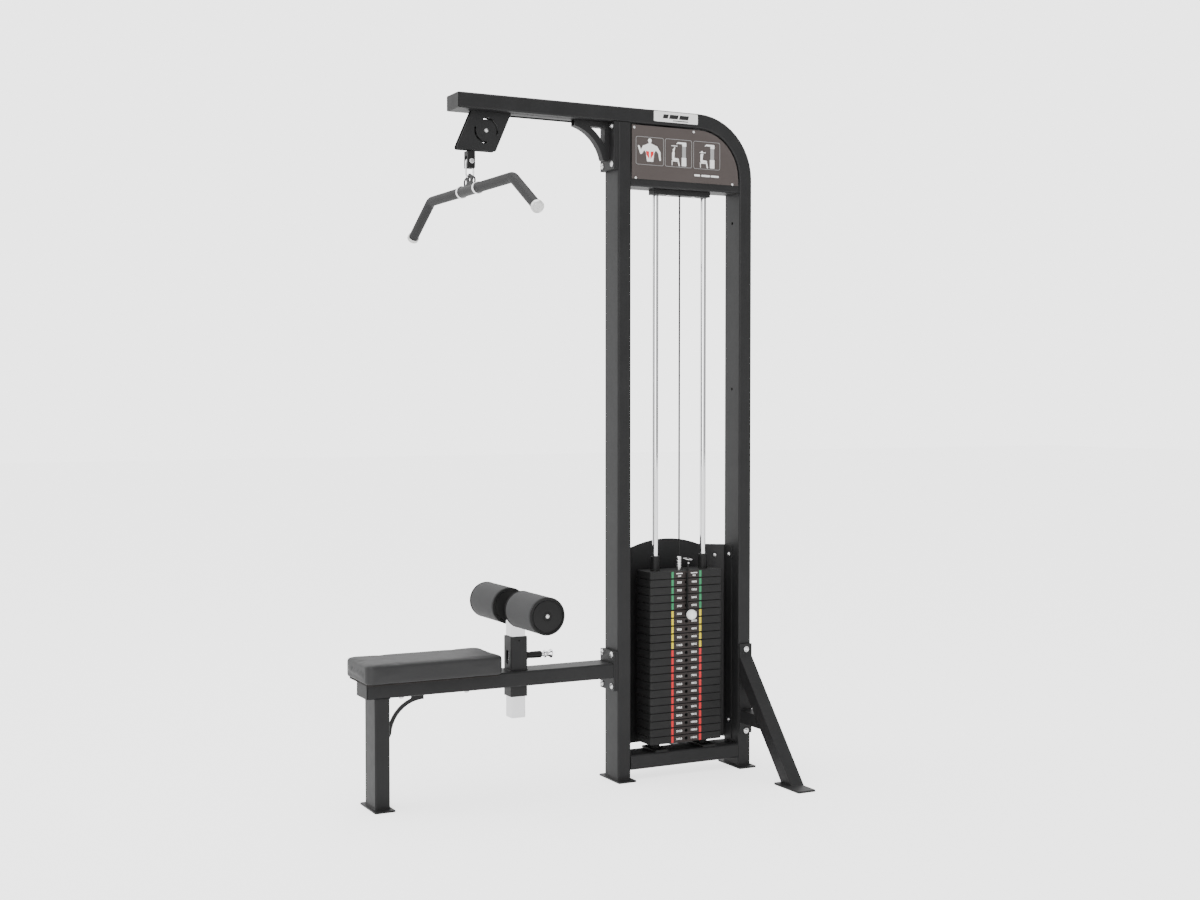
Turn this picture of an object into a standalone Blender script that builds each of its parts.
"""Lat pulldown machine with a pin-selected weight stack, a seat and knee rollers.

Metres, +Z up. +X runs from the seat to the back of the machine, Y = 0 is its middle plane, and
the origin is on the floor under the middle of the front upright.
"""
import math

import bmesh
import bpy
from mathutils import Vector

# --- driving dimensions ------------------------------------------------------------------------
GAP = 0.0003            # clearance between pieces that touch
TUBE = 0.050            # frame tube, in the plane of the machine
WIDE = 0.100            # frame tube, across the machine
WALL = 0.003
EDGE = 0.004            # rounding of the tube corners

TOP = 2.290             # top of the gooseneck arm
ARM_END_X = -0.604
REAR_X = 0.482          # centre of the rear upright
BEND_R = 0.190          # centre line of the gooseneck bend
CAP_T = 0.003

FOOT_T = 0.006
FOOT_LONG = 0.150       # foot plate, along the wide side of its tube
FOOT_SHORT = 0.070

BOTTOM_BEAM_TOP = 0.086
HEADER_BOTTOM = 2.027
HEADER_HALF = 0.046     # header beam, half of its width
PANEL_T = 0.002
PANEL_BOTTOM = 2.052
PANEL_MARGIN = 0.006    # gap between the placard and the bent tube

SEAT_BEAM_TOP = 0.408
SEAT_BEAM_FRONT_X = -0.919
SEAT_POST_X = -0.867
FLANGE_T = 0.008

STACK_X = 0.242         # middle of the weight stack, and the cable above it
PLATE_LONG = 0.285
PLATE_DEEP = 0.104
PLATE_T = 0.0254
PLATE_PITCH = 0.02722
PLATE_COUNT = 22        # the head plate is the first
PINNED = 5              # weight plates between the head plate and the pin's own plate, inclusive
STACK_TOP = 0.711
ROD_OFFSET = 0.0955
ROD_R = 0.010
ROD_HOLE_R = 0.0125
STEM_R = 0.011
PIN_R = 0.0048
PIN_HOLE_R = 0.0056
COLLAR_R = 0.0155
COLLAR_TOP = 0.762
FERRULE_TOP = 0.757

CABLE_R = 0.0028
PULLEY_R = 0.054        # to the middle of the cable
PULLEY_RIM_R = 0.058
PULLEY_HALF = 0.0075
PULLEY_Z = 2.179
REAR_PULLEY_X = STACK_X - PULLEY_R
FRONT_PULLEY_X = -0.4905
DROP_X = FRONT_PULLEY_X - PULLEY_R
AXLE_R = 0.006
CHEEK_IN = 0.0085       # pulley side plates, inner and outer faces
CHEEK_OUT = 0.012

BAR_Z = 1.984
BAR_HALF = 0.525        # half span of the lat bar
BAR_BEND_Y = 0.343      # where its ends turn down
BAR_DROP = 0.112
BAR_CORE_R = 0.0125
GRIP_R = 0.0165
BAR_CAP_R = 0.020

CUSHION_LO = (-0.943, -0.112, 0.414)
CUSHION_HI = (-0.467, 0.112, 0.476)

SLEEVE_X = -0.384
SLEEVE_HALF = 0.030
SLEEVE_WALL = 0.004
SLEEVE_BOTTOM = 0.3215
SLEEVE_TOP = 0.5205
KNEE_POST_HALF = 0.025
KNEE_POST_BOTTOM = 0.250
ROLLER_Z = 0.614
ROLLER_R = 0.0625
ROLLER_IN = 0.047
ROLLER_OUT = 0.250
CROSSBAR_R = 0.0125
LOCK_Z = 0.452

SHROUD_Y = 0.098
SHROUD_TOP = 0.787
SHROUD_BOTTOM = 0.095
SHROUD_ARCH_RISE = 0.025
SHROUD_T = 0.002

CLEVIS_TOP = 2.109
CLEVIS_BOTTOM = 2.054
CLEVIS_BOLT_Z = 2.076
LINK_TOP = 2.0845       # centre line of the snap link
LINK_BOTTOM = 2.0235
LINK_HALF = 0.013
LINK_R = 0.003
EYE_Z = 2.0195
EYE_R = 0.0085
SLEEVE_Y = 0.062        # half length of the hanger's turning sleeve
RING_T = 0.008

ARM_FLANGE_LOW = 2.080  # lower end of the plates that bolt the arm gusset to the upright
NOTCH_LOW = 2.222       # underside of the cable windows in upright, flange and gusset
CABLE_WINDOW = 0.020    # width of the window in the upright
GUSSET_HALF = 0.015
GUSSET_R = 0.142
GUSSET_RIM = 0.023
SEAT_FLANGE_LOW = 0.313
SEAT_FLANGE_HIGH = 0.448
BRACE_R = 0.111         # seat gusset strip, inside radius
BRACE_T = 0.012
BRACE_HALF = 0.004

LEG_TOP = 0.397         # outrigger, where its upper edge meets the plate
LEG_FOOT_Y = 0.388
LEG_WIDTH = 0.048
STRUT_TOP = 0.207
STRUT_BOTTOM = 0.162
STRUT_END_Y = 0.205
LEG_PLATE_LOW = 0.123
LEG_PLATE_HIGH = 0.440
LEG_FOOT_SHIFT = 0.015  # its foot plate sits this far forward of the leg

STEM_BOTTOM = 0.130
PAD_HALF = 0.034        # raised pad between plates
KNOB_Y = -0.0852        # selector pin ball
KNOB_R = 0.020
LANYARD_R = 0.0045
BRACKET_HALF = 0.112    # guide rod bracket under the header
BRACKET_T = 0.018
SOCKET_DEPTH = 0.012
ROD_FOOT_HALF = 0.025
ROD_FOOT_T = 0.008
BUMPER_R = 0.018
SHROUD_SIDE_FRONT = 0.107
SHROUD_SIDE_REAR = 0.379
SHROUD_LIP_Y = -0.005


# --- materials ---------------------------------------------------------------------------------
def material(name, colour, roughness, metallic):
    made = bpy.data.materials.new(name)
    made.use_nodes = True
    shader = made.node_tree.nodes["Principled BSDF"]
    shader.inputs["Base Color"].default_value = (*colour, 1.0)
    shader.inputs["Roughness"].default_value = roughness
    shader.inputs["Metallic"].default_value = metallic
    made.diffuse_color = (*colour, 1.0)
    return made


# --- building helpers --------------------------------------------------------------------------
def add(name, bm, mat, smooth=False):
    """Turn a bmesh into a named object with outward faces."""
    bmesh.ops.recalc_face_normals(bm, faces=bm.faces[:])
    mesh = bpy.data.meshes.new(name)
    bm.to_mesh(mesh)
    bm.free()
    mesh.materials.append(mat)
    if smooth:
        mesh.shade_smooth()
        mesh.set_sharp_from_angle(angle=math.radians(35))
    made = bpy.data.objects.new(name, mesh)
    bpy.context.scene.collection.objects.link(made)
    return made


def helper(made):
    """Mark an object as a cutter or a union operand, which the build leaves out."""
    made.hide_render = True
    made.display_type = 'WIRE'
    return made


def boolean(target, operand, operation):
    step = target.modifiers.new(operation.lower(), 'BOOLEAN')
    step.operation = operation
    step.solver = 'EXACT'
    step.object = helper(operand)
    return target


def cut(target, *cutters):
    for cutter in cutters:
        boolean(target, cutter, 'DIFFERENCE')
    return target


def weld(target, *others):
    for other in others:
        boolean(target, other, 'UNION')
    return target


def on_axis(axis, along, a, b):
    """A point from its place along an axis and its other two coordinates, in X, Y, Z order."""
    if axis == 'X':
        return Vector((along, a, b))
    if axis == 'Y':
        return Vector((a, along, b))
    return Vector((a, b, along))


def prism(name, outline, axis, low, high, mat):
    """Extrude a flat outline, given in the two other coordinates, along an axis."""
    bm = bmesh.new()
    face = bm.faces.new([bm.verts.new(on_axis(axis, low, a, b)) for a, b in outline])
    grown = bmesh.ops.extrude_face_region(bm, geom=[face])
    moved = [item for item in grown["geom"] if isinstance(item, bmesh.types.BMVert)]
    bmesh.ops.translate(bm, verts=moved, vec=on_axis(axis, high - low, 0.0, 0.0))
    return add(name, bm, mat)


def box(name, low, high, mat, edge=0.0):
    """A box from corner to corner, with its upright edges cut at 45 degrees when edge is set."""
    outline = chamfered(low[0], high[0], low[1], high[1], edge)
    return prism(name, outline, 'Z', low[2], high[2], mat)


def chamfered(a0, a1, b0, b1, edge):
    if edge <= 0.0:
        return [(a0, b0), (a1, b0), (a1, b1), (a0, b1)]
    return [(a0 + edge, b0), (a1 - edge, b0), (a1, b0 + edge), (a1, b1 - edge),
            (a1 - edge, b1), (a0 + edge, b1), (a0, b1 - edge), (a0, b0 + edge)]


def arc(centre_a, centre_b, radius, start, end, steps):
    """Points on an arc, with its angles in degrees."""
    angles = [math.radians(start + (end - start) * i / steps) for i in range(steps + 1)]
    return [(centre_a + radius * math.cos(t), centre_b + radius * math.sin(t)) for t in angles]


def lathe(name, profile, axis, centre, mat, segments=24, closed=False):
    """Turn (radius, place) points about an axis. A closed profile has a bore."""
    bm = bmesh.new()
    rings = []
    for radius, along in profile:
        if radius < 1e-6:
            rings.append([bm.verts.new(on_axis(axis, along, *centre))])
            continue
        turn = arc(centre[0], centre[1], radius, 0.0, 360.0, segments)[:-1]
        rings.append([bm.verts.new(on_axis(axis, along, a, b)) for a, b in turn])
    pairs = list(zip(rings, rings[1:]))
    if closed:
        pairs.append((rings[-1], rings[0]))
    for one, two in pairs:
        for i in range(segments):
            j = (i + 1) % segments
            corners = [one[i % len(one)], one[j % len(one)], two[j % len(two)], two[i % len(two)]]
            bm.faces.new(list(dict.fromkeys(corners)))
    return add(name, bm, mat, smooth=True)


def rod(name, axis, low, high, centre, radius, mat, segments=16):
    return lathe(name, [(0.0, low), (radius, low), (radius, high), (0.0, high)], axis, centre,
                 mat, segments)


def pipe(name, axis, low, high, centre, radius, bore, mat, segments=24):
    profile = [(bore, low), (radius, low), (radius, high), (bore, high)]
    return lathe(name, profile, axis, centre, mat, segments, closed=True)


def sweep(name, path, normal, outer, inner, mat, smooth=False):
    """Sweep a hollow section along a flat path. Sections are (along normal, along inside)."""
    bm = bmesh.new()
    normal = Vector(normal)
    loops = []
    for i, point in enumerate(path):
        back = (Vector(path[i]) - Vector(path[i - 1])).normalized() if i else None
        ahead = (Vector(path[i + 1]) - Vector(path[i])).normalized() if i + 1 < len(path) else None
        tangent = ((back or ahead) + (ahead or back)).normalized()
        stretch = 1.0 / tangent.dot(back or ahead)
        inside = normal.cross(tangent) * stretch
        pair = []
        for section in (outer, inner):
            pair.append([bm.verts.new(Vector(point) + normal * a + inside * b)
                         for a, b in section])
        loops.append(pair)
    count = len(outer)
    for (out_a, in_a), (out_b, in_b) in zip(loops, loops[1:]):
        for i in range(count):
            j = (i + 1) % count
            bm.faces.new((out_a[i], out_a[j], out_b[j], out_b[i]))
            bm.faces.new((in_a[j], in_a[i], in_b[i], in_b[j]))
    for out_end, in_end in (loops[0], loops[-1]):
        for i in range(count):
            j = (i + 1) % count
            bm.faces.new((out_end[i], out_end[j], in_end[j], in_end[i]))
    return add(name, bm, mat, smooth)


def cable(name, points, mat, radius=CABLE_R, closed=False):
    """A round cord or wire through the given points."""
    data = bpy.data.curves.new(name, 'CURVE')
    data.dimensions = '3D'
    data.bevel_depth = radius
    data.bevel_resolution = 2
    data.use_fill_caps = not closed
    spline = data.splines.new('POLY')
    spline.points.add(len(points) - 1)
    for place, point in zip(spline.points, points):
        place.co = (*point, 1.0)
    spline.use_cyclic_u = closed
    data.materials.append(mat)
    made = bpy.data.objects.new(name, data)
    bpy.context.scene.collection.objects.link(made)
    return made


def straight_tube(name, axis, low, high, centre, half, mat):
    """Hollow rectangular tube, open at both ends. half is its two half widths."""
    a, b = half
    outer = chamfered(centre[0] - a, centre[0] + a, centre[1] - b, centre[1] + b, EDGE)
    inner_a, inner_b = a - WALL, b - WALL
    inner = chamfered(centre[0] - inner_a, centre[0] + inner_a,
                      centre[1] - inner_b, centre[1] + inner_b, EDGE - WALL / 2)
    bm = bmesh.new()
    ends = []
    for along in (low, high):
        ends.append([[bm.verts.new(on_axis(axis, along, *point)) for point in loop]
                     for loop in (outer, inner)])
    count = len(outer)
    for i in range(count):
        j = (i + 1) % count
        (out_a, in_a), (out_b, in_b) = ends
        bm.faces.new((out_a[i], out_a[j], out_b[j], out_b[i]))
        bm.faces.new((in_a[j], in_a[i], in_b[i], in_b[j]))
        bm.faces.new((out_a[j], out_a[i], in_a[i], in_a[j]))
        bm.faces.new((out_b[i], out_b[j], in_b[j], in_b[i]))
    return add(name, bm, mat)


def foot_plate(name, x, y, mat):
    return box(name, (x - FOOT_SHORT / 2, y - FOOT_LONG / 2, 0.0),
               (x + FOOT_SHORT / 2, y + FOOT_LONG / 2, FOOT_T), mat, EDGE)


# --- frame -------------------------------------------------------------------------------------
def build_gooseneck(paint, plastic):
    """Arm, bend and rear upright: one bent tube on its foot plate."""
    mid_z = TOP - TUBE / 2
    centre_x = REAR_X - BEND_R
    centre_z = mid_z - BEND_R
    bend = arc(centre_x, centre_z, BEND_R, 90.0, 0.0, 12)
    path = [(ARM_END_X + CAP_T + GAP, 0.0, mid_z)]
    path += [(x, 0.0, z) for x, z in bend]
    path.append((REAR_X, 0.0, FOOT_T / 2))
    outer = chamfered(-WIDE / 2, WIDE / 2, -TUBE / 2, TUBE / 2, EDGE)
    inner = chamfered(-WIDE / 2 + WALL, WIDE / 2 - WALL, -TUBE / 2 + WALL, TUBE / 2 - WALL,
                      EDGE - WALL / 2)
    neck = sweep("gooseneck_tube", path, (0.0, 1.0, 0.0), outer, inner, paint)
    weld(neck, foot_plate("rear_foot_operand", REAR_X, 0.0, paint))
    front_face = REAR_X - TUBE / 2
    for number, height in enumerate((1.926, 1.341)):
        hole = rod(f"upright_hole_{number}", 'X', front_face - 0.005, front_face + 0.010,
                   (0.0, height), 0.005, paint, 12)
        cut(neck, hole)
    cap = box("arm_end_cap", (ARM_END_X, -WIDE / 2 + 0.001, TOP - TUBE + 0.001),
              (ARM_END_X + CAP_T, WIDE / 2 - 0.001, TOP - 0.001), plastic)
    plug = box("arm_plug_operand",
               (ARM_END_X + CAP_T / 2, -WIDE / 2 + WALL + GAP + EDGE, TOP - TUBE + WALL + EDGE),
               (ARM_END_X + 0.018, WIDE / 2 - WALL - GAP - EDGE, TOP - WALL - EDGE), plastic)
    weld(cap, plug)


def build_uprights_and_beams(paint, plastic):
    half = (TUBE / 2, WIDE / 2)
    post = straight_tube("front_post", 'Z', FOOT_T / 2, TOP - TUBE - GAP, (0.0, 0.0), half, paint)
    weld(post, foot_plate("front_foot_operand", 0.0, 0.0, paint))
    window = CABLE_WINDOW / 2
    cut(post, box("post_cable_window", (-TUBE, -window, NOTCH_LOW), (TUBE, window, TOP), paint))
    left, right = TUBE / 2 + GAP, REAR_X - TUBE / 2 - GAP
    straight_tube("bottom_beam", 'X', left, right, (0.0, BOTTOM_BEAM_TOP - TUBE / 2),
                  (WIDE / 2, TUBE / 2), paint)
    header = straight_tube("header_beam", 'X', left, right, (0.0, HEADER_BOTTOM + TUBE / 2),
                           (HEADER_HALF, TUBE / 2), paint)
    cut(header, rod("header_cable_hole", 'Z', HEADER_BOTTOM - 0.01, HEADER_BOTTOM + TUBE + 0.01,
                    (STACK_X, 0.0), 0.010, paint, 12))
    seat_post = straight_tube("seat_post", 'Z', FOOT_T / 2, SEAT_BEAM_TOP - TUBE - GAP,
                              (SEAT_POST_X, 0.0), half, paint)
    weld(seat_post, foot_plate("seat_foot_operand", SEAT_POST_X, 0.0, paint))
    beam_end = SEAT_BEAM_FRONT_X + CAP_T + GAP
    beam = straight_tube("seat_beam", 'X', beam_end, -TUBE / 2 - 2 * FLANGE_T - 3 * GAP,
                         (0.0, SEAT_BEAM_TOP - TUBE / 2), (WIDE / 2, TUBE / 2), paint)
    opening = SLEEVE_HALF + GAP
    cut(beam, box("sleeve_opening", (SLEEVE_X - opening, -opening, 0.30),
                  (SLEEVE_X + opening, opening, 0.45), paint))
    box("seat_beam_cap", (SEAT_BEAM_FRONT_X, -WIDE / 2 + 0.001, SEAT_BEAM_TOP - TUBE + 0.001),
        (SEAT_BEAM_FRONT_X + CAP_T, WIDE / 2 - 0.001, SEAT_BEAM_TOP - 0.001), plastic)


def build_header_panels(placard):
    """Placards on both sides, shaped to the inside of the bend."""
    centre_x = REAR_X - BEND_R
    centre_z = TOP - TUBE / 2 - BEND_R
    left = TUBE / 2 + 0.003
    radius = BEND_R - TUBE / 2 - PANEL_MARGIN
    outline = [(left, PANEL_BOTTOM), (left, centre_z + radius)]
    outline += arc(centre_x, centre_z, radius, 90.0, 0.0, 10)
    outline.append((centre_x + radius, PANEL_BOTTOM))
    near = HEADER_HALF + GAP
    prism("header_panel_near", outline, 'Y', -near - PANEL_T, -near, placard)
    prism("header_panel_far", outline, 'Y', near, near + PANEL_T, placard)


def build_arm_gusset(paint):
    """Quarter-round gusset between arm and front upright, with its bolted flange."""
    top = TOP - TUBE - GAP
    plate_low = ARM_FLANGE_LOW
    face = -TUBE / 2 - GAP
    joint = face - FLANGE_T
    notch = [box(f"flange_notch_{i}", (-0.30, -0.008, NOTCH_LOW), (-0.022, 0.008, TOP), paint)
             for i in range(2)]
    flange = box("arm_flange", (joint, -WIDE / 2, plate_low), (face, WIDE / 2, top), paint)
    cut(flange, notch[0])
    back = joint - GAP - FLANGE_T
    centre_x, centre_z = back - 0.162, plate_low + 0.002
    radius = GUSSET_R
    tip_x, heel_z = back - 0.129, plate_low + 0.032
    start = math.degrees(math.acos((tip_x - centre_x) / radius))
    end = math.degrees(math.asin((heel_z - centre_z) / radius))
    outline = [(back + 0.001, top), (tip_x, top)]
    outline += arc(centre_x, centre_z, radius, start, end, 8) + [(back + 0.001, heel_z)]
    gusset = prism("arm_gusset", outline, 'Y', -GUSSET_HALF, GUSSET_HALF, paint)
    weld(gusset, box("gusset_plate_operand", (back, -WIDE / 2, plate_low),
                     (joint - GAP, WIDE / 2, top), paint))
    hole_x, hole_z = back - 0.017, top - 0.0185
    hole_r = radius + GUSSET_RIM
    start = math.degrees(math.asin((hole_z - centre_z) / hole_r))
    end = math.degrees(math.acos((hole_x - centre_x) / hole_r))
    hole = [(hole_x, hole_z)] + arc(centre_x, centre_z, hole_r, start, end, 5)
    cut(gusset, prism("gusset_hole", hole, 'Y', -0.030, 0.030, paint), notch[1])


def build_seat_flange(paint):
    """Two bolted plates where the seat beam meets the front upright."""
    face = -TUBE / 2 - GAP
    low, high = SEAT_FLANGE_LOW, SEAT_FLANGE_HIGH
    box("seat_flange_post", (face - FLANGE_T, -WIDE / 2, low), (face, WIDE / 2, high), paint)
    box("seat_flange_beam", (face - 2 * FLANGE_T - GAP, -WIDE / 2, low),
        (face - FLANGE_T - GAP, WIDE / 2, high), paint)


def build_seat_gusset(paint):
    """Curved strip bracing the seat post under the beam."""
    post_face = SEAT_POST_X + TUBE / 2 + GAP
    under = SEAT_BEAM_TOP - TUBE - GAP
    width, radius = BRACE_T, BRACE_R
    inset = 0.008
    centre_x = post_face + radius + width + inset
    centre_z = under - radius - width - inset
    outside = arc(centre_x, centre_z, radius + width, 93.0, 177.0, 10)
    inside = arc(centre_x, centre_z, radius, 176.0, 94.0, 10)
    outline = [(centre_x, under), (centre_x - 0.040, under)]
    outline += [point for point in outside if point[0] < centre_x - 0.040]
    outline += [(post_face, centre_z + 0.030), (post_face, centre_z - 0.010),
                (post_face + 0.012, centre_z - 0.010)]
    outline += inside
    outline += [(centre_x, centre_z + radius)]
    prism("seat_gusset", outline, 'Y', -BRACE_HALF, BRACE_HALF, paint)


def build_outrigger(name, side, paint):
    """Splayed leg with its strut and bolting plate, on the side given by the sign of Y."""
    face = WIDE / 2 + GAP
    weld_y = face + FLANGE_T - 0.001
    slope = math.atan2(LEG_TOP, LEG_FOOT_Y - face - FLANGE_T)
    sunk = FOOT_T / 2
    foot_y = LEG_FOOT_Y - sunk / math.tan(slope)
    across, down = LEG_WIDTH / math.sin(slope), LEG_WIDTH / math.cos(slope)
    leg = [(weld_y, LEG_TOP), (foot_y, sunk), (foot_y - across, sunk), (weld_y, LEG_TOP - down)]
    strut = [(weld_y, STRUT_TOP), (STRUT_END_Y, STRUT_TOP), (STRUT_END_Y, STRUT_BOTTOM),
             (weld_y, STRUT_BOTTOM)]
    left, right = REAR_X - TUBE / 2, REAR_X + TUBE / 2

    def sided(outline):
        return [(side * y, z) for y, z in outline]

    body = prism(name, sided(leg), 'X', left, right, paint)
    plate = chamfered(face, face + FLANGE_T, LEG_PLATE_LOW, LEG_PLATE_HIGH, 0.0)
    weld(body, prism(f"{name}_plate_operand", sided(plate), 'X', left, right, paint),
         prism(f"{name}_strut_operand", sided(strut), 'X', left + 0.001, right - 0.001, paint),
         foot_plate(f"{name}_foot_operand", REAR_X - LEG_FOOT_SHIFT, side * LEG_FOOT_Y, paint))


# --- weight stack ------------------------------------------------------------------------------
def plate_bottom(number):
    """Height of the underside of a plate, counted from the head plate as 0."""
    return STACK_TOP - PLATE_PITCH * number - PLATE_T


def stack_bores(name, low, high, mat):
    return [rod(f"{name}_bore_{i}", 'Z', low, high, (x, 0.0), ROD_HOLE_R, mat, 10)
            for i, x in enumerate((STACK_X - ROD_OFFSET, STACK_X, STACK_X + ROD_OFFSET))]


def build_plates(name, first, count, iron):
    """Weight plates held to each other by a raised pad, bored for the rods, stem and pin."""
    low = plate_bottom(first + count - 1)
    high = plate_bottom(first) + PLATE_T
    pad = PAD_HALF
    body = box(name, (STACK_X - pad, -pad, low + 0.001), (STACK_X + pad, pad, high - 0.001), iron)
    for number in range(first, first + count):
        bottom = plate_bottom(number)
        plate = box(f"{name}_plate_{number}",
                    (STACK_X - PLATE_LONG / 2, -PLATE_DEEP / 2, bottom),
                    (STACK_X + PLATE_LONG / 2, PLATE_DEEP / 2, bottom + PLATE_T), iron, EDGE)
        weld(body, plate)
    cut(body, *stack_bores(name, low - 0.01, high + 0.01, iron))
    for number in range(max(first, 1), first + count):
        cut(body, rod(f"{name}_pin_hole_{number}", 'Y', -PLATE_DEEP / 2 - 0.01, -0.004,
                      (STACK_X, plate_bottom(number) + PLATE_T / 2), PIN_HOLE_R, iron, 6))


def build_weight_stack(iron, chrome, black, knob_white):
    build_plates("head_plate", 0, 1, iron)
    build_plates("lifted_plates", 1, PINNED, iron)
    resting = PLATE_COUNT - 1 - PINNED
    per_block = resting // 4
    for block in range(4):
        build_plates(f"resting_plates_{block + 1}", 1 + PINNED + block * per_block, per_block, iron)
    pin_z = plate_bottom(PINNED) + PLATE_T / 2
    stem_top = STACK_TOP - 0.010
    stem = rod("selector_stem", 'Z', STEM_BOTTOM, stem_top, (STACK_X, 0.0), STEM_R, chrome, 16)
    cut(stem, rod("stem_pin_hole", 'Y', -0.02, 0.02, (STACK_X, pin_z), PIN_HOLE_R, chrome, 10))
    lathe("cable_ferrule",
          [(0.0, stem_top + GAP), (0.0085, stem_top + GAP), (0.0085, FERRULE_TOP - 0.004),
           (0.005, FERRULE_TOP), (0.0, FERRULE_TOP)], 'Z', (STACK_X, 0.0), chrome, 16)
    for place, x in (("front", STACK_X - ROD_OFFSET), ("rear", STACK_X + ROD_OFFSET)):
        pipe(f"guide_collar_{place}", 'Z', STACK_TOP + GAP, COLLAR_TOP, (x, 0.0), COLLAR_R,
             ROD_HOLE_R, black, 16)
    knob_y, knob_r = KNOB_Y, KNOB_R
    ball = arc(knob_y, 0.0, knob_r, 0.0, 180.0, 8)[1:-1]
    profile = [(0.0, 0.004), (PIN_R, 0.003), (PIN_R, knob_y + knob_r + 0.002)]
    profile += [(0.009, knob_y + knob_r + 0.001)]
    profile += [(radius, place) for place, radius in ball if place < knob_y + knob_r - 0.002]
    profile += [(0.0, knob_y - knob_r)]
    lathe("selector_pin", profile, 'Y', (STACK_X, pin_z), knob_white, 16)
    front = -PLATE_DEEP / 2
    route = [(STACK_X - 0.001, front + 0.014, STACK_TOP + 0.0060),
             (STACK_X - 0.001, front + 0.004, STACK_TOP + 0.0080),
             (STACK_X - 0.001, front - 0.004, STACK_TOP + 0.0060),
             (STACK_X - 0.001, front - 0.0078, STACK_TOP - 0.004),
             (STACK_X - 0.001, front - 0.0075, STACK_TOP - 0.050),
             (STACK_X, front - 0.0075, STACK_TOP - 0.100),
             (STACK_X, front - 0.0070, pin_z + 0.008)]
    cable("pin_lanyard", route, black, LANYARD_R)


def build_guides(chrome, paint, rubber, black):
    rod_low = BOTTOM_BEAM_TOP + 0.002
    foot_top = BOTTOM_BEAM_TOP + GAP + ROD_FOOT_T
    bracket_top = HEADER_BOTTOM - GAP
    bracket_low = HEADER_BOTTOM - BRACKET_T
    bracket = box("rod_bracket_top", (STACK_X - BRACKET_HALF, -0.020, bracket_low),
                  (STACK_X + BRACKET_HALF, 0.020, bracket_top), paint)
    cut(bracket, rod("bracket_cable_hole", 'Z', bracket_low - 0.01, bracket_top + 0.01,
                     (STACK_X, 0.0), 0.006, paint, 12))
    for place, x in (("front", STACK_X - ROD_OFFSET), ("rear", STACK_X + ROD_OFFSET)):
        rod(f"guide_rod_{place}", 'Z', rod_low, bracket_low + SOCKET_DEPTH - GAP, (x, 0.0), ROD_R,
            chrome, 16)
        cut(bracket, rod(f"bracket_socket_{place}", 'Z', bracket_low - 0.01,
                         bracket_low + SOCKET_DEPTH, (x, 0.0), ROD_R + GAP, paint, 16))
        foot = box(f"rod_foot_{place}", (x - ROD_FOOT_HALF, -WIDE / 2, BOTTOM_BEAM_TOP + GAP),
                   (x + ROD_FOOT_HALF, WIDE / 2, foot_top), black)
        cut(foot, rod(f"foot_bore_{place}", 'Z', 0.0, 0.12, (x, 0.0), ROD_R + GAP, black, 16))
        pipe(f"bumper_{place}", 'Z', foot_top + GAP, plate_bottom(PLATE_COUNT - 1) - GAP,
             (x, 0.0), BUMPER_R, ROD_R + GAP, rubber, 16)


def build_shroud(black):
    """Folded sheet on the far side of the stack, with an arched top edge and bolting lips."""
    front, rear = TUBE / 2 + GAP, REAR_X - TUBE / 2 - GAP
    fold_y = WIDE / 2 - 0.002
    lip_y = SHROUD_LIP_Y
    side_front, side_rear = SHROUD_SIDE_FRONT, SHROUD_SIDE_REAR

    def skin(inset):
        """Plan of one face of the sheet, inset from the outer one."""
        run = inset * 0.62
        return [(front + inset, lip_y), (front + inset, fold_y - run),
                (side_front + run, SHROUD_Y - inset), (side_rear - run, SHROUD_Y - inset),
                (rear - inset, fold_y - run), (rear - inset, lip_y)]

    outline = skin(0.0) + skin(SHROUD_T)[::-1]
    sheet = prism("shroud", outline, 'Z', SHROUD_BOTTOM, SHROUD_TOP + SHROUD_ARCH_RISE, black)
    middle = (side_front + side_rear) / 2
    half = (side_rear - side_front) / 2
    radius = (half ** 2 + SHROUD_ARCH_RISE ** 2) / (2 * SHROUD_ARCH_RISE)
    swing = math.degrees(math.asin(half / radius))
    top_edge = arc(middle, SHROUD_TOP + SHROUD_ARCH_RISE - radius, radius, 90 + swing, 90 - swing, 10)
    waste = [(front - 0.01, SHROUD_TOP + 0.05), (front - 0.01, SHROUD_TOP)] + top_edge
    waste += [(rear + 0.01, SHROUD_TOP), (rear + 0.01, SHROUD_TOP + 0.05)]
    cut(sheet, prism("shroud_top_waste", waste, 'Y', lip_y - 0.01, SHROUD_Y + 0.01, black))


# --- cable and pulleys -------------------------------------------------------------------------
def arc_slot(name, centre, radius, half_width, start, end, depth, mat):
    outline = arc(*centre, radius + half_width, start, end, 8)
    outline += arc(*centre, radius - half_width, end, start, 8)
    return prism(name, outline, 'Y', -depth, depth, mat)


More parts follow.
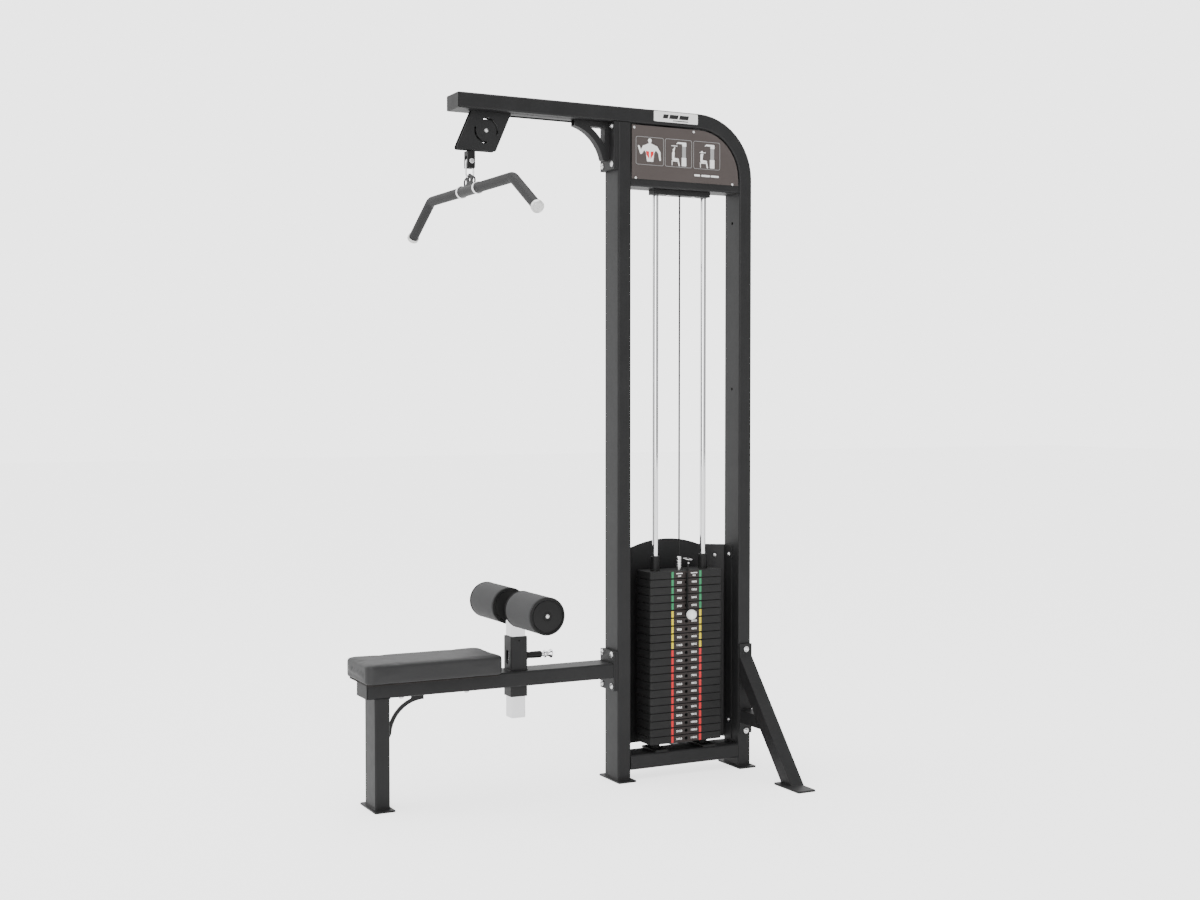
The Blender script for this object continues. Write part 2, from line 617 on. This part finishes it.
def build_pulleys(paint, nylon, steel):
    inner = PULLEY_R - CABLE_R - GAP
    rim = PULLEY_RIM_R
    half = PULLEY_HALF
    bore = AXLE_R + 0.0005
    profile = [(bore, -half), (rim, -half), (rim, -half + 0.003), (inner, -CABLE_R),
               (inner, CABLE_R), (rim, half - 0.003), (rim, half), (bore, half)]
    for name, x in (("front_pulley", FRONT_PULLEY_X), ("rear_pulley", REAR_PULLEY_X)):
        lathe(name, profile, 'Y', (x, PULLEY_Z), nylon, 24, closed=True)
    under = TOP - TUBE - GAP
    plate = [(-0.541, under), (-0.592, 2.124), (-0.593, 2.117), (-0.587, 2.112), (-0.469, 2.112),
             (-0.456, 2.118), (-0.402, under)]
    centre = (FRONT_PULLEY_X, PULLEY_Z)
    for name, low in (("pulley_plate_near", -CHEEK_OUT), ("pulley_plate_far", CHEEK_IN)):
        side = prism(name, plate, 'Y', low, low + CHEEK_OUT - CHEEK_IN, paint)
        cut(side, arc_slot(f"{name}_slot_low", centre, 0.039, 0.004, 172.0, 268.0, 0.04, paint),
            arc_slot(f"{name}_slot_high", centre, 0.039, 0.004, 98.0, -20.0, 0.04, paint),
            rod(f"{name}_bore", 'Y', -0.04, 0.04, centre, AXLE_R + GAP, paint, 12))
    head = CHEEK_OUT + GAP
    lathe("front_pulley_axle",
          [(0.0, -head - 0.005), (0.008, -head - 0.005), (0.008, -head), (AXLE_R, -head),
           (AXLE_R, head), (0.008, head), (0.008, head + 0.005), (0.0, head + 0.005)],
          'Y', centre, steel, 12)
    bracket_low = PULLEY_Z - 0.022
    near, far = [box(f"rear_cheek_{side}", (REAR_PULLEY_X - 0.020, low, bracket_low),
                     (REAR_PULLEY_X + 0.020, low + CHEEK_OUT - CHEEK_IN, under), paint)
                 for side, low in (("near", -CHEEK_OUT), ("far", CHEEK_IN))]
    axle = rod("rear_pulley_bracket", 'Y', -CHEEK_OUT + 0.001, CHEEK_OUT - 0.001,
               (REAR_PULLEY_X, PULLEY_Z), AXLE_R, paint, 12)
    weld(axle, near, far)


def build_cable(wire):
    over = PULLEY_Z + PULLEY_R
    route = [(x, 0.0, z) for x, z in arc(REAR_PULLEY_X, PULLEY_Z, PULLEY_R, 0.0, 90.0, 12)]
    steps = 6
    for i in range(1, steps):
        route.append((REAR_PULLEY_X + (FRONT_PULLEY_X - REAR_PULLEY_X) * i / steps, 0.0, over))
    route += [(x, 0.0, z) for x, z in arc(FRONT_PULLEY_X, PULLEY_Z, PULLEY_R, 90.0, 180.0, 12)]
    cable("cable_arm_run", route, wire)
    cable("cable_stack_run", [(STACK_X, 0.0, FERRULE_TOP + GAP), (STACK_X, 0.0, PULLEY_Z - GAP)],
          wire)
    cable("cable_front_drop", [(DROP_X, 0.0, CLEVIS_TOP + GAP), (DROP_X, 0.0, PULLEY_Z - GAP)],
          wire)


# --- hanging bar -------------------------------------------------------------------------------


def build_hanger(black, chrome, grey):
    clevis = box("cable_clevis", (DROP_X - 0.013, -0.0165, CLEVIS_BOTTOM),
                 (DROP_X + 0.013, 0.0165, CLEVIS_TOP), black, 0.002)
    cut(clevis, box("clevis_slot", (DROP_X - 0.02, -0.008, CLEVIS_BOTTOM - 0.01),
                    (DROP_X + 0.02, 0.008, 2.094), black))
    weld(clevis, lathe("clevis_bolt_operand",
                       [(0.0, -0.0215), (0.008, -0.0215), (0.008, -0.016), (0.004, -0.016),
                        (0.004, 0.016), (0.008, 0.016), (0.008, 0.0215), (0.0, 0.0215)],
                       'Y', (DROP_X, CLEVIS_BOLT_Z), black, 12))
    loop = arc(DROP_X, LINK_TOP - LINK_HALF, LINK_HALF, 0.0, 180.0, 10)
    loop += arc(DROP_X, LINK_BOTTOM + LINK_HALF, LINK_HALF, 180.0, 360.0, 10)
    cable("snap_link", [(x, 0.0, z) for x, z in loop], chrome, LINK_R, closed=True)
    plate_half, eye_top = 0.046, 2.037
    outline = [(-plate_half, BAR_Z + 0.008), (plate_half, BAR_Z + 0.008)]
    outline += [(plate_half - 0.002, BAR_Z + 0.026), (0.030, BAR_Z + 0.044)]
    outline += arc(0.0, EYE_Z, eye_top - EYE_Z, 60.0, 120.0, 6)
    outline += [(-0.030, BAR_Z + 0.044), (-plate_half + 0.002, BAR_Z + 0.026)]
    hanger = prism("bar_hanger", outline, 'X', DROP_X - 0.004, DROP_X + 0.004, grey)
    weld(hanger, rod("hanger_sleeve_operand", 'Y', -SLEEVE_Y, SLEEVE_Y, (DROP_X, BAR_Z), 0.017,
                     grey, 16))
    cut(hanger, rod("hanger_eye", 'X', DROP_X - 0.02, DROP_X + 0.02, (0.0, EYE_Z), EYE_R, grey, 12))
    for i, y in enumerate((-0.029, 0.029)):
        cut(hanger, rod(f"hanger_side_hole_{i}", 'X', DROP_X - 0.02, DROP_X + 0.02,
                        (y, BAR_Z + 0.028), 0.007, grey, 12))
    cut(hanger, rod("hanger_bore", 'Y', -0.1, 0.1, (DROP_X, BAR_Z), BAR_CORE_R + 0.0005, grey, 16))


def bar_path(side, start, stop_short):
    """Half of the bar's centre line, from y = start out to stop_short before its end."""
    run, drop = BAR_HALF - BAR_BEND_Y, BAR_DROP
    turn = math.atan2(drop, run)
    bend_r = 0.050
    back = bend_r * math.tan(turn / 2)
    points = [(DROP_X, side * start, BAR_Z)]
    for i in range(7):
        angle = turn * i / 6
        y = BAR_BEND_Y - back + bend_r * math.sin(angle)
        points.append((DROP_X, side * y, BAR_Z - bend_r * (1.0 - math.cos(angle))))
    end_y = BAR_HALF - stop_short * math.cos(turn)
    points.append((DROP_X, side * end_y, BAR_Z - drop + stop_short * math.sin(turn)))
    return points


def build_bar(chrome, rubber):
    cap_length = 0.014
    core = cable("lat_bar_rod", bar_path(-1, 0.0, 0.001)[::-1] + bar_path(1, 0.0, 0.001)[1:],
                 chrome, BAR_CORE_R)
    turn = math.atan2(BAR_DROP, BAR_HALF - BAR_BEND_Y)
    depsgraph = bpy.context.evaluated_depsgraph_get()
    mesh = bpy.data.meshes.new_from_object(core.evaluated_get(depsgraph))
    bar = bpy.data.objects.new("lat_bar", mesh)
    bpy.context.scene.collection.objects.link(bar)
    bpy.data.objects.remove(core)
    for name, side in (("near", -1), ("far", 1)):
        ring = rod(f"bar_ring_operand_{name}", 'Y', side * (SLEEVE_Y + GAP),
                   side * (SLEEVE_Y + GAP + RING_T), (DROP_X, BAR_Z), 0.0205, chrome, 16)
        cap = rod(f"bar_cap_operand_{name}", 'Z', -cap_length, 0.0, (0.0, 0.0), BAR_CAP_R,
                  chrome, 16)
        cap.location = (DROP_X, side * BAR_HALF, BAR_Z - BAR_DROP)
        cap.rotation_euler = (-side * (math.pi / 2 + turn), 0.0, 0.0)
        weld(bar, ring, cap)
        section = arc(0.0, 0.0, GRIP_R, 0.0, 360.0, 14)[:-1]
        bore = arc(0.0, 0.0, BAR_CORE_R + 0.0009, 0.0, 360.0, 14)[:-1]
        path = bar_path(side, SLEEVE_Y + RING_T + 2 * GAP, cap_length + GAP)
        sweep(f"bar_grip_{name}", path, (1.0, 0.0, 0.0), section, bore, rubber, smooth=True)


# --- seat and knee rollers ---------------------------------------------------------------------
def build_seat(wood, vinyl):
    board_low = (CUSHION_LO[0] + 0.012, CUSHION_LO[1] + 0.014, SEAT_BEAM_TOP + GAP)
    board_high = (CUSHION_HI[0] - 0.012, CUSHION_HI[1] - 0.014, CUSHION_LO[2] - GAP)
    box("seat_board", board_low, board_high, wood, 0.015)
    corner = 0.025
    lo, hi = CUSHION_LO, CUSHION_HI
    outline = arc(lo[0] + corner, lo[1] + corner, corner, 180.0, 270.0, 5)
    outline += arc(hi[0] - corner, lo[1] + corner, corner, 270.0, 360.0, 5)
    outline += arc(hi[0] - corner, hi[1] - corner, corner, 0.0, 90.0, 5)
    outline += arc(lo[0] + corner, hi[1] - corner, corner, 90.0, 180.0, 5)
    prism("seat_cushion", outline, 'Z', lo[2], hi[2], vinyl)


def build_sleeve(paint, black, chrome):
    """Adjuster sleeve through the seat beam, with its spring lock pin."""
    low = (SLEEVE_X - SLEEVE_HALF, -SLEEVE_HALF, SLEEVE_BOTTOM)
    high = (SLEEVE_X + SLEEVE_HALF, SLEEVE_HALF, SLEEVE_TOP)
    sleeve = box("adjuster_sleeve", low, high, paint, 0.003)
    inner = SLEEVE_HALF - SLEEVE_WALL
    cut(sleeve, box("sleeve_bore", (SLEEVE_X - inner, -inner, SLEEVE_BOTTOM - 0.01),
                    (SLEEVE_X + inner, inner, SLEEVE_TOP + 0.01), paint))
    slot = arc(0.0, 0.464, 0.011, 0.0, 180.0, 6) + arc(0.0, 0.438, 0.011, 180.0, 360.0, 6)
    rear = SLEEVE_X + SLEEVE_HALF
    cut(sleeve,
        prism("sleeve_slot", slot, 'X', SLEEVE_X - SLEEVE_HALF - 0.01, SLEEVE_X - inner + 0.004,
              paint),
        rod("sleeve_lock_hole", 'X', rear - 0.01, rear + 0.01, (0.0, LOCK_Z), 0.0063, paint, 12),
        rod("sleeve_screw_hole", 'Y', -SLEEVE_HALF - 0.01, -inner + 0.004, (SLEEVE_X, 0.508),
            0.003, paint, 10))
    barrel_end = rear + 0.063
    pipe("lock_pin_barrel", 'X', rear + GAP, barrel_end, (0.0, LOCK_Z), 0.0115, 0.0062, black, 16)
    tip = SLEEVE_X + KNEE_POST_HALF + 0.0007
    knob = barrel_end + 0.011
    lathe("lock_pin", [(0.0, tip), (0.0058, tip), (0.0058, barrel_end + 0.0005),
                       (0.007, barrel_end + 0.001), (0.007, knob - 0.002), (0.012, knob),
                       (0.0125, knob + 0.004), (0.0085, knob + 0.010), (0.0085, knob + 0.014),
                       (0.015, knob + 0.024), (0.015, knob + 0.0275), (0.0, knob + 0.028)],
          'X', (0.0, LOCK_Z), chrome, 16)


def build_knee_rollers(chrome, foam):
    post = box("knee_post", (SLEEVE_X - KNEE_POST_HALF, -KNEE_POST_HALF, KNEE_POST_BOTTOM),
               (SLEEVE_X + KNEE_POST_HALF, KNEE_POST_HALF, ROLLER_Z + 0.020), chrome, 0.003)
    inner = KNEE_POST_HALF - 0.003
    cut(post, box("knee_post_bore", (SLEEVE_X - inner, -inner, KNEE_POST_BOTTOM - 0.01),
                  (SLEEVE_X + inner, inner, ROLLER_Z - 0.020), chrome))
    for i in range(9):
        height = LOCK_Z - 0.125 + 0.025 * i
        cut(post, rod(f"knee_hole_{i}", 'X', SLEEVE_X, SLEEVE_X + 0.04, (0.0, height), 0.0065,
                      chrome, 8))
    end = ROLLER_OUT - 0.003
    weld(post, rod("crossbar_operand", 'Y', -end, end, (SLEEVE_X, ROLLER_Z), CROSSBAR_R, chrome,
                   16))
    bore = CROSSBAR_R + 0.0008
    soft = 0.006
    for name, side in (("near", -1), ("far", 1)):
        profile = [(bore, ROLLER_IN), (ROLLER_R - soft, ROLLER_IN), (ROLLER_R, ROLLER_IN + soft),
                   (ROLLER_R, ROLLER_OUT - soft), (ROLLER_R - soft, ROLLER_OUT),
                   (bore, ROLLER_OUT)]
        lathe(f"knee_roller_{name}", [(radius, side * y) for radius, y in profile], 'Y',
              (SLEEVE_X, ROLLER_Z), foam, 24, closed=True)


# --- assembly ----------------------------------------------------------------------------------
def clear_scene():
    for old in list(bpy.context.scene.objects):
        bpy.data.objects.remove(old)


def main():
    clear_scene()
    paint = material("powder_coat", (0.035, 0.035, 0.036), 0.45, 0.0)
    black = material("black_plastic", (0.012, 0.012, 0.012), 0.5, 0.0)
    placard = material("placard", (0.095, 0.078, 0.074), 0.5, 0.0)
    iron = material("plate_iron", (0.030, 0.030, 0.030), 0.6, 0.2)
    chrome = material("chrome", (0.85, 0.85, 0.86), 0.12, 1.0)
    rubber = material("rubber", (0.05, 0.05, 0.05), 0.8, 0.0)
    foam = material("roller_vinyl", (0.06, 0.06, 0.06), 0.65, 0.0)
    vinyl = material("seat_vinyl", (0.022, 0.022, 0.023), 0.55, 0.0)
    wood = material("seat_board", (0.02, 0.02, 0.02), 0.8, 0.0)
    nylon = material("nylon", (0.02, 0.02, 0.02), 0.4, 0.0)
    wire = material("coated_cable", (0.01, 0.01, 0.01), 0.35, 0.0)
    white = material("white_knob", (0.9, 0.9, 0.9), 0.3, 0.0)

    build_gooseneck(paint, black)
    build_uprights_and_beams(paint, black)
    build_header_panels(placard)
    build_arm_gusset(paint)
    build_seat_flange(paint)
    build_seat_gusset(paint)
    build_outrigger("outrigger_near", -1, paint)
    build_outrigger("outrigger_far", 1, paint)
    build_weight_stack(iron, chrome, black, white)
    build_guides(chrome, paint, rubber, black)
    build_shroud(black)
    build_pulleys(paint, nylon, chrome)
    build_cable(wire)
    build_hanger(black, chrome, paint)
    build_bar(chrome, rubber)
    build_seat(wood, vinyl)
    build_sleeve(paint, black, chrome)
    build_knee_rollers(chrome, foam)


main()
